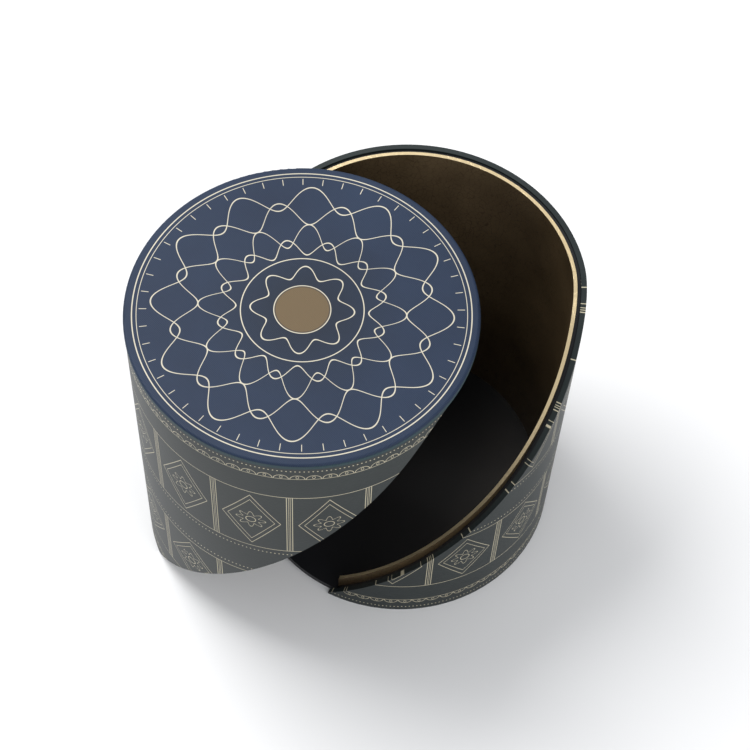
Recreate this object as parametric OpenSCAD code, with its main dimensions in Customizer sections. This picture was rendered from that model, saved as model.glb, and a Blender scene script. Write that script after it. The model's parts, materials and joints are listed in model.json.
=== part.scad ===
// Round gift box with a diagonally parted wall.
// The lid carries the top disc and its own piece of the wall, and swings
// sideways on an upright fold of the covering paper.
// Lengths are millimetres, angles degrees. Azimuths run anticlockwise seen
// from above, 0 at +X, and are those of the closed box, also for the lid.
// Origin: centre of the base's underside, +Z up.

/* [Tube] */
// Outer diameter of the wall, over the printed paper
tube_d = 150; // [100:1:220]
// Height of the closed box
total_h = 171; // [120:1:240]
// Thickness of the wall's greyboard
board_t = 1.7; // [1.2:0.1:2.4]
// Thickness of the covering and lining papers
paper_t = 0.25; // [0.2:0.05:0.4]
// Glue line between two glued layers
glue_t = 0.1; // [0.05:0.05:0.15]

/* [Diagonal seam] */
// Azimuth at which the seam leaves the bottom
seam_foot = -115; // [-125:0.5:-105]
// Azimuth at which the seam would meet the top of the wall without its rounding
seam_head = 1.5; // [-6:0.5:8]
// How far the middle of the seam hangs below a straight diagonal
seam_sag = 3.7; // [0:0.1:6]
// Height over which the seam is rounded into the level rim
head_round = 14.7; // [8:0.1:24]
// Gap left between the lid's edge and the base's edge, measured upright
seam_gap = 0.8; // [0.6:0.1:1.6]
// How far the paper is turned in behind the cut edges
turn_in = 12; // [6:1:18]

/* [Neck] */
// Radial gap between the lid's wall and the bronze neck, which lets the lid swing
neck_gap = 1.8; // [1.5:0.1:2.6]
// Thickness of the neck's card
neck_card_t = 1; // [0.8:0.1:1.6]
// Lead of the neck's edge over the seam at the foot, in degrees
neck_lead = 5.5; // [2:0.5:9]
// Lag of the neck's edge behind the seam at the head, in degrees
neck_lag = 1; // [1:0.5:4]
// Distance from the seam's foot to the neck's own end, in degrees
neck_set_back = 4; // [2:0.5:8]
// Height of the bronze paper's band on the outer face of the neck
neck_band = 16; // [12:1:24]
// How far the spacer stays below the base's cut edge
spacer_drop = 1; // [0.5:0.1:2]

/* [Floor] */
// Thickness of the floor board
floor_t = 2.5; // [1.5:0.1:4]
// Radial gap between the floor's edge and the lid's wall
floor_gap = 0.35; // [0.3:0.05:0.8]

/* [Lid] */
// Thickness of the finished lid disc, with its papers
disc_t = 3; // [2:0.1:5]
// How far the disc stands out over the wall
disc_overhang = 0.25; // [0:0.05:1]
// Rounding of the disc's upper edge
disc_round = 1.3; // [0.6:0.1:1.5]
// Height by which the lid's wall clears the table
lid_lift = 0.4; // [0.3:0.1:1]
// Height of the lid's wall where it runs out under the disc
skirt_tip = 1; // [0.6:0.1:2]

/* [Fold] */
// Azimuth of the upright fold that the lid swings on
fold_az = 131.8; // [120:0.1:145]
// Angle by which the lid stands open as drawn
open_angle = 38.7; // [0:0.1:120]
// Gap between the wall boards at the fold
fold_board_gap = 1.2; // [0.8:0.1:3]
// Gap between the two halves of the paper at the fold
fold_paper_gap = 0.6; // [0.4:0.1:0.8]
// Width of the fold's reinforcing tape on each side
tape_w = 12; // [8:1:20]
// Thickness of the tape
tape_t = 0.2; // [0.15:0.05:0.3]

/* [Hidden] */
$fn = 180;
step = 1.5;          // width of one facet along a cut edge, in degrees
edge_step = 0.05;    // step at which a rounded cut ends in the level rim
over = 1;            // length by which a cutter stands out of what it cuts

// Radii of the wall's layers, from outside to inside
outer_r = tube_d/2;
wrap_in_r = outer_r - paper_t;
board_out_r = wrap_in_r - glue_t;
board_in_r = board_out_r - board_t;
lining_out_r = board_in_r - glue_t;
wall_in_r = lining_out_r - paper_t;
neck_out_r = wall_in_r - neck_gap;
neck_card_out_r = neck_out_r - paper_t - glue_t/2;
neck_card_in_r = neck_card_out_r - neck_card_t;
neck_in_r = neck_card_in_r - glue_t/2 - paper_t;
spacer_out_r = wall_in_r - glue_t;
spacer_in_r = neck_out_r + glue_t;
floor_r = wall_in_r - floor_gap;

// Heights of the layers
wall_top = total_h - disc_t;
rim_z = wall_top - seam_gap/2;
board_z = paper_t + glue_t;
floor_top = board_z + floor_t;
inside_z = floor_top + glue_t + paper_t;

// Azimuths along the wall
tip_az = seam_foot + 1.2;
neck_end_az = seam_foot + neck_set_back;
base_board_end = fold_az - arc_deg(fold_board_gap/2, outer_r);
lid_board_end = fold_az + arc_deg(fold_board_gap/2, outer_r);
base_paper_end = fold_az - arc_deg(fold_paper_gap/2, outer_r);
lid_paper_end = fold_az + arc_deg(fold_paper_gap/2, outer_r);
tape_deg = arc_deg(tape_w, outer_r);
neck_foot = seam_foot - neck_lead;
neck_head = seam_head - neck_lag;
skirt_az = run_out(skirt_tip);
fold = [outer_r*cos(fold_az), outer_r*sin(fold_az), 0];

// Angle that an arc of length l takes up at radius r
function arc_deg(l, r) = l/r*180/PI;

// A slightly hanging diagonal on the unrolled wall
function diagonal(a, foot, head) = let (t = (a - foot)/(head - foot))
    wall_top*t - 4*seam_sag*t*(1 - t);

// The smaller of two heights, rounded over k where they meet
function soft_min(a, b, k) = let (h = max(k - abs(a - b), 0)/k)
    min(a, b) - h*h*k/4;

// Height of the seam and of the neck's edge at an azimuth
function seam_z(a) = soft_min(diagonal(a, seam_foot, seam_head), wall_top, head_round);
function neck_z(a) = soft_min(diagonal(a, neck_foot, neck_head), wall_top, head_round);

// Rise of a diagonal at its head, in millimetres per degree
function head_slope(foot, head) = (wall_top + 4*seam_sag)/(head - foot);

// Azimuth at which a rounded diagonal has come within d of the level rim
function level_az(foot, head, d) = head
    + (head_round - sqrt(4*head_round*d))/head_slope(foot, head);
function run_out(d) = level_az(seam_foot, seam_head, d);

// Edge heights along the wall: kind 0 is the seam, kind 1 the neck's edge
function edge_z(a, kind) = kind == 0 ? seam_z(a) : neck_z(a);
function edge_foot(kind) = kind == 0 ? seam_foot : neck_foot;
function edge_head(kind) = kind == 0 ? seam_head : neck_head;

// Part of a tube between two azimuths
module ring(r_in, r_out, z0, z1, a0, a1) {
    rotate([0, 0, a0])
        rotate_extrude(angle = a1 - a0)
            translate([r_in, z0])
                square([r_out - r_in, z1 - z0]);
}

// Ruled block between a cut edge and a level far above or below it
module edge_block(r_in, r_out, kind, shift, far_z, a0, a1) {
    n = ceil((a1 - a0)/step);
    az = [for (i = [0:n]) a0 + (a1 - a0)*i/n];
    z = [for (a = az) edge_z(a, kind) + shift];
    up = far_z > 0;
    points = [for (i = [0:n]) each [
        [r_in*cos(az[i]), r_in*sin(az[i]), z[i]],
        [r_out*cos(az[i]), r_out*sin(az[i]), z[i]],
        [r_out*cos(az[i]), r_out*sin(az[i]), far_z],
        [r_in*cos(az[i]), r_in*sin(az[i]), far_z]]];
    sides = [for (i = [0:n - 1]) for (k = [0:3]) let (p = 4*i + k, q = 4*i + (k + 1)%4)
        each [[p, q, q + 4], [p, q + 4, p + 4]]];
    caps = [[3, 2, 1, 0], [4*n, 4*n + 1, 4*n + 2, 4*n + 3]];
    faces = concat(sides, caps);
    polyhedron(points, up ? faces : [for (f = faces) [for (i = [len(f) - 1:-1:0]) f[i]]]);
}

// Layer of the base's wall, cut off a given depth below the seam or neck edge
module base_layer(r_in, r_out, z0, a0, a1, kind, depth) {
    foot = edge_foot(kind);
    head = edge_head(kind);
    difference() {
        ring(r_in, r_out, z0, wall_top - seam_gap/2 - depth, a0, a1);
        edge_block(r_in - over, r_out + over, kind, -seam_gap/2 - depth,
            total_h + over, foot - 3, level_az(foot, head, edge_step));
    }
}

// Layer of the lid's wall, cut off a given depth above the seam
module lid_layer(r_in, r_out, z0, z1, a0, depth) {
    difference() {
        ring(r_in, r_out, z0, z1, a0, 360 + skirt_az);
        edge_block(r_in - over, r_out + over, 0, seam_gap/2 + depth,
            -total_h/4, seam_foot - 3, skirt_az + 2);
    }
}

// Stands the lid open about the fold
module opened() {
    translate(fold)
        rotate([0, 0, -open_angle])
            translate(-fold)
                children();
}

// Bottom board of the base
module floor_board() {
    color("dimgray")
        translate([0, 0, board_z])
            cylinder(h = floor_t, r = floor_r - paper_t - glue_t);
}

// Black paper over the floor board and round its edge
module floor_lining() {
    color([0.05, 0.05, 0.07])
        difference() {
            translate([0, 0, board_z])
                cylinder(h = inside_z - board_z, r = floor_r);
            translate([0, 0, board_z - over])
                cylinder(h = floor_t + glue_t + over, r = floor_r - paper_t);
        }
}

// Black sheet pasted under the floor
module bottom_sheet() {
    color([0.06, 0.06, 0.07])
        cylinder(h = paper_t, r = floor_r);
}

// Greyboard wall of the base, thinned at the fold for the tape
module base_board() {
    color("slategray")
        difference() {
            base_layer(board_in_r, board_out_r, board_z, tip_az + 0.6, base_board_end,
                0, paper_t + glue_t);
            ring(board_out_r - tape_t - glue_t/2, outer_r, 0, total_h,
                base_board_end - tape_deg - 0.2, base_board_end + over);
        }
}

// Printed paper over the base's wall, turned in over the cut edge and under the foot
module base_wrap() {
    color([0.17, 0.2, 0.19])
        difference() {
            base_layer(wall_in_r, outer_r, 0, tip_az, base_paper_end, 0, 0);
            base_layer(lining_out_r, wrap_in_r, paper_t, tip_az + 0.4, fold_az + over,
                0, paper_t);
            base_layer(wall_in_r - over, lining_out_r + glue_t, paper_t, tip_az - over,
                fold_az + over, 0, turn_in);
        }
}

// Board tube between wall and neck, which keeps the neck clear of the swinging lid
module base_spacer() {
    color([0.1, 0.1, 0.11])
        base_layer(spacer_in_r, spacer_out_r, inside_z, neck_end_az + 1, base_board_end,
            0, spacer_drop);
}

// Card of the inner tube, whose neck stands up above the seam
module neck_card() {
    color("gray")
        base_layer(neck_card_in_r, neck_card_out_r, inside_z, neck_end_az + 0.3,
            base_board_end - 0.3, 1, paper_t + glue_t);
}

// Bronze paper inside the inner tube, over its edge and down its outer face
module neck_paper() {
    color([0.55, 0.45, 0.28])
        difference() {
            base_layer(neck_in_r, neck_out_r, inside_z, neck_end_az, base_board_end, 1, 0);
            base_layer(neck_in_r + paper_t, neck_out_r - paper_t, inside_z - over,
                neck_end_az + 0.2, base_board_end + over, 1, paper_t);
            base_layer(neck_out_r - paper_t - glue_t, neck_out_r + over, inside_z - over,
                neck_end_az - over, base_board_end + over, 1, neck_band);
        }
}

// Reinforcing tape on the base's side of the fold, under the printed paper
module base_fold_tape() {
    color("black")
        ring(board_out_r - tape_t, board_out_r, board_z + over, rim_z - over,
            base_paper_end - tape_deg, base_paper_end);
}

// Half outline of the lid disc, a depth d inside its finished surface
module disc_outline(d) {
    r = outer_r + disc_overhang - d;
    z0 = wall_top + d;
    z1 = total_h - d;
    k = disc_round - d/2;
    translate([0, z0])
        square([r, z1 - z0 - k]);
    translate([0, z0])
        square([r - k, z1 - z0]);
    translate([r - k, z1 - k])
        circle(r = k, $fn = 48);
}

// Greyboard disc of the lid
module lid_disc() {
    color("darkslategray")
        opened()
            rotate_extrude()
                disc_outline(paper_t + glue_t/2);
}

// Linen-textured blue paper over the disc and round its edge
module lid_cover() {
    color([0.2, 0.32, 0.5])
        opened()
            rotate_extrude()
                difference() {
                    disc_outline(0);
                    disc_outline(paper_t);
                    translate([0, wall_top - over])
                        square([wall_in_r - turn_in, 2*over]);
                }
}

// Black paper disc on the lid's inner face
module lid_ceiling() {
    color([0.05, 0.05, 0.07])
        opened()
            translate([0, 0, wall_top])
                cylinder(h = paper_t, r = wall_in_r - turn_in - 0.3);
}

// Greyboard wall of the lid, thinned at the fold for the tape
module lid_board() {
    color("slategray")
        opened()
            difference() {
                lid_layer(board_in_r, board_out_r, lid_lift + board_z, wall_top,
                    lid_board_end, paper_t + glue_t);
                ring(board_out_r - tape_t - glue_t/2, outer_r, 0, total_h,
                    lid_board_end - over, lid_board_end + tape_deg + 0.2);
            }
}

// Printed paper over the lid's wall, turned round its cut edge
module lid_wrap() {
    color([0.17, 0.2, 0.19])
        opened()
            difference() {
                lid_layer(lining_out_r + glue_t, outer_r, lid_lift, wall_top, lid_paper_end, 0);
                lid_layer(lining_out_r, wrap_in_r, lid_lift + paper_t, wall_top + over,
                    fold_az - over, paper_t);
            }
}

// Dark lining inside the lid's wall
module lid_lining() {
    color([0.05, 0.05, 0.06])
        opened()
            lid_layer(wall_in_r, lining_out_r, lid_lift, wall_top, lid_board_end, 0);
}

// Reinforcing tape on the lid's side of the fold
module lid_fold_tape() {
    color("black")
        opened()
            ring(board_out_r - tape_t, board_out_r, board_z + over, rim_z - over,
                lid_paper_end, lid_paper_end + tape_deg);
}

floor_board();
floor_lining();
bottom_sheet();
base_board();
base_wrap();
base_spacer();
neck_card();
neck_paper();
base_fold_tape();
lid_disc();
lid_cover();
lid_ceiling();
lid_board();
lid_wrap();
lid_lining();
lid_fold_tape();
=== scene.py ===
import json
from math import pi, radians

import bpy
from mathutils import Matrix, Vector


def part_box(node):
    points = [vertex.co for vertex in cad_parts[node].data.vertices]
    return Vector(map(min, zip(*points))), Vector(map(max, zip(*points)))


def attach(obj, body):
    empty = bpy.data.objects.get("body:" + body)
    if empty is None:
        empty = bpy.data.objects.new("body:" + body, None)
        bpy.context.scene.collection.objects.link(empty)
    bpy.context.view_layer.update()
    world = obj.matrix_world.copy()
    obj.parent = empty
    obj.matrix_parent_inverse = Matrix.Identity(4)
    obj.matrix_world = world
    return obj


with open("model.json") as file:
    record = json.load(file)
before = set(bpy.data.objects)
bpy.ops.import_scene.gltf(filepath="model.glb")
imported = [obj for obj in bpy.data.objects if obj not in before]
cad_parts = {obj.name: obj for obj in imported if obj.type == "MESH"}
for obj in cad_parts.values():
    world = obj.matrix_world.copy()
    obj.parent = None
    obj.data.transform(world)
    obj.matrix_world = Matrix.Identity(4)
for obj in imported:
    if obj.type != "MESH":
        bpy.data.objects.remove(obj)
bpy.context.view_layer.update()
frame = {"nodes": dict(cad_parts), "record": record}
scene = bpy.context.scene
MM = 0.001

# Camera at the photograph's angle: a 750 pixel square frame, 1951 pixels focal length
camera_data = bpy.data.cameras.new("camera")
camera_data.sensor_width = 36
camera_data.lens = 36*1951/750
camera = bpy.data.objects.new("camera", camera_data)
scene.collection.objects.link(camera)
camera_right = Vector((0.99826937, 0.05004875, 0.03087688))
camera_up = Vector((-0.05880696, 0.84959554, 0.52414612))
camera_back = camera_right.cross(camera_up)
camera_turn = Matrix((camera_right, camera_up, camera_back)).transposed().to_4x4()
camera.matrix_world = Matrix.Translation(Vector((-13.81, -471.60, 855.60))*MM) @ camera_turn
scene.camera = camera

# Studio: pale floor, white backdrop, one large soft light above left and a fill
scene.view_settings.view_transform = "Standard"
world = bpy.data.worlds.new("studio")
world.use_nodes = True
scene.world = world
air = world.node_tree
light_path = air.nodes.new("ShaderNodeLightPath")
backdrop = air.nodes.new("ShaderNodeMix")
backdrop.data_type = "RGBA"
backdrop.inputs[6].default_value = (0.55, 0.56, 0.58, 1)
backdrop.inputs[7].default_value = (1, 1, 1, 1)
air.links.new(light_path.outputs["Is Camera Ray"], backdrop.inputs[0])
air.links.new(backdrop.outputs[2], air.nodes["Background"].inputs["Color"])


def soft_light(name, place, size, power):
    """An area light that looks at the box's middle."""
    data = bpy.data.lights.new(name, "AREA")
    data.size = size
    data.energy = power
    light = bpy.data.objects.new(name, data)
    scene.collection.objects.link(light)
    light.location = place
    aim = Vector((-0.02, 0, 0.09)) - light.location
    light.rotation_euler = aim.to_track_quat("-Z", "Y").to_euler()


soft_light("key", (-0.55, 0.35, 1.1), 0.7, 14)
soft_light("fill", (0.7, -0.7, 0.7), 0.9, 5)


class Value:
    """A shader value that is used in plain sums."""

    def __init__(self, tree, socket):
        self.tree = tree
        self.socket = socket

    def math(self, kind, *terms):
        node = self.tree.nodes.new("ShaderNodeMath")
        node.operation = kind
        for slot, term in zip(node.inputs, terms):
            if isinstance(term, Value):
                self.tree.links.new(term.socket, slot)
            else:
                slot.default_value = term
        return Value(self.tree, node.outputs[0])

    def __add__(self, other):
        return self.math("ADD", self, other)

    def __radd__(self, other):
        return self.math("ADD", other, self)

    def __sub__(self, other):
        return self.math("SUBTRACT", self, other)

    def __rsub__(self, other):
        return self.math("SUBTRACT", other, self)

    def __mul__(self, other):
        return self.math("MULTIPLY", self, other)

    def __rmul__(self, other):
        return self.math("MULTIPLY", other, self)

    def __truediv__(self, other):
        return self.math("DIVIDE", self, other)

    def __rtruediv__(self, other):
        return self.math("DIVIDE", other, self)

    def size(self):
        return self.math("ABSOLUTE", self)

    def fraction(self):
        return self.math("FRACT", self)

    def cosine(self):
        return self.math("COSINE", self)

    def larger(self, other):
        return self.math("MAXIMUM", self, other)

    def clamped(self):
        return self.math("MINIMUM", self.math("MAXIMUM", self, 0.0), 1.0)

    def within(self, half, blur=0.08):
        """1 where the value lies within half of zero, with an edge blur wide."""
        return ((half - self.size())/blur + 0.5).clamped()


class Finish:
    """A procedural material, with places measured in millimetres."""

    def __init__(self, name, roughness, metallic=0.0, coat=0.0):
        self.material = bpy.data.materials.new(name)
        self.material.use_nodes = True
        self.tree = self.material.node_tree
        self.shader = self.tree.nodes["Principled BSDF"]
        self.shader.inputs["Roughness"].default_value = roughness
        self.shader.inputs["Metallic"].default_value = metallic
        self.shader.inputs["Coat Weight"].default_value = coat
        self.shader.inputs["Specular IOR Level"].default_value = 0.3
        self.coordinates = self.tree.nodes.new("ShaderNodeTexCoord").outputs["Object"]

    def place(self, axis):
        """x, y and z in millimetres, x and y from an upright axis."""
        split = self.tree.nodes.new("ShaderNodeSeparateXYZ")
        self.tree.links.new(self.coordinates, split.inputs[0])
        x, y, z = (Value(self.tree, out)*1000 for out in split.outputs)
        return x - axis[0], y - axis[1], z

    def noise(self, scale, detail=3.0):
        node = self.tree.nodes.new("ShaderNodeTexNoise")
        node.inputs["Scale"].default_value = scale
        node.inputs["Detail"].default_value = detail
        self.tree.links.new(self.coordinates, node.inputs["Vector"])
        return Value(self.tree, node.outputs[0])

    def cracks(self, scale):
        """Distance to the nearest edge of an irregular net."""
        node = self.tree.nodes.new("ShaderNodeTexVoronoi")
        node.feature = "DISTANCE_TO_EDGE"
        node.inputs["Scale"].default_value = scale
        self.tree.links.new(self.coordinates, node.inputs["Vector"])
        return Value(self.tree, node.outputs["Distance"])

    def upward(self):
        """1 on faces that look up, such as a cut edge; it masks a painted highlight."""
        split = self.tree.nodes.new("ShaderNodeSeparateXYZ")
        normal = self.tree.nodes.new("ShaderNodeNewGeometry").outputs["Normal"]
        self.tree.links.new(normal, split.inputs[0])
        return ((Value(self.tree, split.outputs["Z"]) - 0.3)*5).clamped()

    def mix(self, share, first, second):
        node = self.tree.nodes.new("ShaderNodeMix")
        node.data_type = "RGBA"
        self.tree.links.new(share.socket, node.inputs[0])
        for slot, colour in ((node.inputs[6], first), (node.inputs[7], second)):
            if isinstance(colour, tuple):
                slot.default_value = (*colour, 1)
            else:
                self.tree.links.new(colour, slot)
        return node.outputs[2]

    def colour(self, output):
        self.tree.links.new(output, self.shader.inputs["Base Color"])

    def bump(self, height, depth, strength=0.5):
        node = self.tree.nodes.new("ShaderNodeBump")
        node.inputs["Distance"].default_value = depth
        node.inputs["Strength"].default_value = strength
        self.tree.links.new(height.socket, node.inputs["Height"])
        self.tree.links.new(node.outputs[0], self.shader.inputs["Normal"])

    def on(self, *names):
        """Puts the finish on CAD nodes."""
        for name in names:
            for slot in frame["nodes"][name].material_slots:
                slot.material = self.material


# The box's wall, shared by the base and the lid: the lid stands turned about the fold
FOLD = Vector(frame["record"]["behaviour"]["joints"][0]["pos_m"][:2])/MM
OPEN = radians(38.7)
LID_AXIS = FOLD - Matrix.Rotation(-OPEN, 2) @ FOLD


# Covering paper: dark slate paper with a fine cream line print of rows and panels,
# wrapped round the board and turned in over the cut edges
def cell(azimuth, count):
    """Distance along the wall from the middle of the nearest of count cells."""
    pitch = 2*pi*75/count
    return ((azimuth*count/(2*pi)).fraction() - 0.5)*pitch


def hypotenuse(a, b):
    return (a*a + b*b).math("SQRT", a*a + b*b)


def dot_row(azimuth, z, height):
    return hypotenuse(cell(azimuth, 258), z - height).within(0.34)


def scallop_row(azimuth, z, height, way):
    """Arches standing (way 1) or hanging (way -1) on a line, an oval in each."""
    u = cell(azimuth, 70)
    v = (z - height)*way
    arch = (hypotenuse(u, v) - 3.1).within(0.16)*(v/0.1).clamped()
    oval = (hypotenuse(u*1.7, v - 1.6) - 1.0).within(0.16)
    return arch.larger(oval).larger(v.within(0.14))


def panel_row(azimuth, z, low, high):
    """Framed panels with a lozenge and an eight-leaved figure in each."""
    u = cell(azimuth, 14)
    v = z - (low + high)/2
    half = (high - low)/2
    turn = v.math("ARCTAN2", v, u)
    lozenge = (u.size()/13 + v.size()/(half - 3) - 1).within(0.014, 0.008)
    inner = (u.size()/10.5 + v.size()/(half - 7) - 1).within(0.014, 0.008)
    leaves = (hypotenuse(u, v) - 5.2 - (turn*8).cosine()*1.4).within(0.2)
    heart = (hypotenuse(u, v) - 2.2).within(0.18)
    posts = (u.size() - 15.6).within(0.16).larger((u.size() - 16.5).within(0.1))
    drawn = lozenge.larger(inner).larger(leaves).larger(heart).larger(posts)
    rails = (v.size() - half).within(0.18)
    return (drawn*(v.size() - half/2).within(half/2)).larger(rails)


def covering(name, axis, turn):
    finish = Finish(name, 0.46)
    x, y, z = finish.place(axis)
    azimuth = y.math("ARCTAN2", y, x) + (turn + 2*pi)
    ink = dot_row(azimuth, z, 165.6).larger(scallop_row(azimuth, z, 159.2, 1))
    ink = ink.larger(panel_row(azimuth, z, 94, 143)).larger(dot_row(azimuth, z, 90.5))
    ink = ink.larger(dot_row(azimuth, z, 70)).larger(panel_row(azimuth, z, 25, 66.5))
    ink = ink.larger(scallop_row(azimuth, z, 10.6, -1)).larger(dot_row(azimuth, z, 3.2))
    cloud = finish.noise(26)
    ground = finish.mix(cloud, (0.006, 0.01, 0.011), (0.02, 0.028, 0.027))
    finish.colour(finish.mix(ink*(0.6 + cloud*0.5).clamped(), ground, (0.62, 0.56, 0.4)))
    finish.bump(finish.noise(900), 0.0001)
    return finish


covering("covering_base", (0, 0), 0).on("base_wrap")
covering("covering_lid", LID_AXIS, OPEN).on("lid_wrap")

# Neck: bronze metallic paper with a fine dark crackle, folded over the card's edge; faces that
# look up, such as the folded top edge, get a bright gold painted highlight
bronze = Finish("bronze_paper", 0.34, metallic=0.8)
crackle = (1 - bronze.cracks(420)/0.06).clamped()*bronze.noise(60)
patina = bronze.mix(bronze.noise(35), (0.07, 0.045, 0.022), (0.26, 0.18, 0.095))
aged = bronze.mix(crackle, patina, (0.02, 0.012, 0.006))
# Painted highlight: faces that look up, such as the neck's folded top edge, are painted a bright
# gold
bronze.colour(bronze.mix(bronze.upward(), aged, (0.8, 0.64, 0.38)))
bronze.bump(1 - crackle, 0.0001)
bronze.on("neck_paper")

# Floor, ceiling and lid lining: near-black satin papers, pasted down
black = Finish("black_paper", 0.42)
black.colour(black.mix(black.noise(18), (0.004, 0.004, 0.005), (0.012, 0.013, 0.016)))
black.bump(black.noise(1200), 0.00005)
black.on("floor_lining", "bottom_sheet", "lid_ceiling", "lid_lining", "base_spacer")

# Boards and fold tape: raw greyboard and book cloth, all under the papers
board = Finish("greyboard", 0.85)
board.colour(board.mix(board.noise(400), (0.2, 0.19, 0.17), (0.34, 0.32, 0.29)))
board.bump(board.noise(1500), 0.0001)
board.on("floor_board", "base_board", "neck_card", "lid_disc", "lid_board")
cloth = Finish("fold_cloth", 0.8)
cloth.colour(cloth.mix(cloth.noise(1500), (0.01, 0.01, 0.01), (0.035, 0.035, 0.035)))
cloth.bump(cloth.noise(2500), 0.0001)
cloth.on("base_fold_tape", "lid_fold_tape")

# Lid disc: linen-textured blue paper with a generic rosette in cream line and a bronze middle;
# where the same paper turns down round the disc's side it is painted a dark teal as painted shade
cover = Finish("lid_paper", 0.55)
x, y, z = cover.place(LID_AXIS)
radius = hypotenuse(x, y)
bearing = y.math("ARCTAN2", y, x)
lines = (radius - 71.5).within(0.25).larger((radius - 69.6).within(0.15))
lines = lines.larger((radius - 26).within(0.22)).larger((radius - 12).within(0.2))
for reach, depth, leaf_count in ((58, 6, 12), (50, -6, 12), (38, 6, 12), (32, -4, 12), (19, 3, 8)):
    wave = (bearing*leaf_count).cosine()*depth
    lines = lines.larger((radius - reach - wave).within(0.3))
spokes = ((bearing*48/(2*pi)).fraction() - 0.5)*radius*(2*pi/48)
lines = lines.larger(spokes.within(0.16)*(radius - 67).within(1.6))
weave = (x*7).cosine()*(y*7).cosine()
tone = cover.noise(24)
blue = cover.mix(tone*0.7 + weave*0.2 + 0.15, (0.004, 0.011, 0.03), (0.016, 0.034, 0.075))
deep = cover.mix((1 - radius/44).clamped(), blue, (0.005, 0.01, 0.02))
gold = cover.mix((12 - radius).clamped(), deep, (0.13, 0.09, 0.045))
drawn = cover.mix(lines*(0.65 + tone*0.4).clamped(), gold, (0.66, 0.61, 0.48))
# Painted shade: below the disc's top face, round its side, the blue paper is painted a dark teal
edge = ((170.2 - z)/0.3).clamped()
cover.colour(cover.mix(edge, drawn, (0.012, 0.04, 0.05)))
cover.bump(weave, 0.0001)
cover.on("lid_cover")

# Fold: the crease of the covering paper, a slim roll on the hinge line itself, so
# that it closes the gap between the two papers at every angle
bpy.ops.object.select_all(action="DESELECT")
crease_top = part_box("base_wrap")[1].z - 0.001
bpy.ops.mesh.primitive_cylinder_add(
    vertices=24, radius=0.38*MM, depth=crease_top - 0.001,
    location=(FOLD.x*MM, FOLD.y*MM, (crease_top + 0.001)/2))
crease = bpy.context.object
crease.name = "fold_crease"
bpy.ops.object.transform_apply(location=True, rotation=True, scale=True)
bpy.ops.object.mode_set(mode="EDIT")
bpy.ops.mesh.select_all(action="SELECT")
bpy.ops.mesh.bevel(offset=0.1*MM, segments=2)
bpy.ops.object.mode_set(mode="OBJECT")
bpy.ops.object.shade_smooth_by_angle(angle=radians(40))
crease.data.materials.append(bpy.data.materials["covering_base"])
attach(crease, "base")

# Floor under the box
bpy.ops.object.select_all(action="DESELECT")
bpy.ops.mesh.primitive_plane_add(size=6, location=(0, 0, -0.0001))
floor = bpy.context.object
floor.name = "studio_floor"
ground = Finish("studio_floor", 0.9)
ground.colour(ground.mix(ground.noise(2), (0.84, 0.84, 0.84), (0.87, 0.87, 0.87)))
floor.data.materials.append(ground.material)
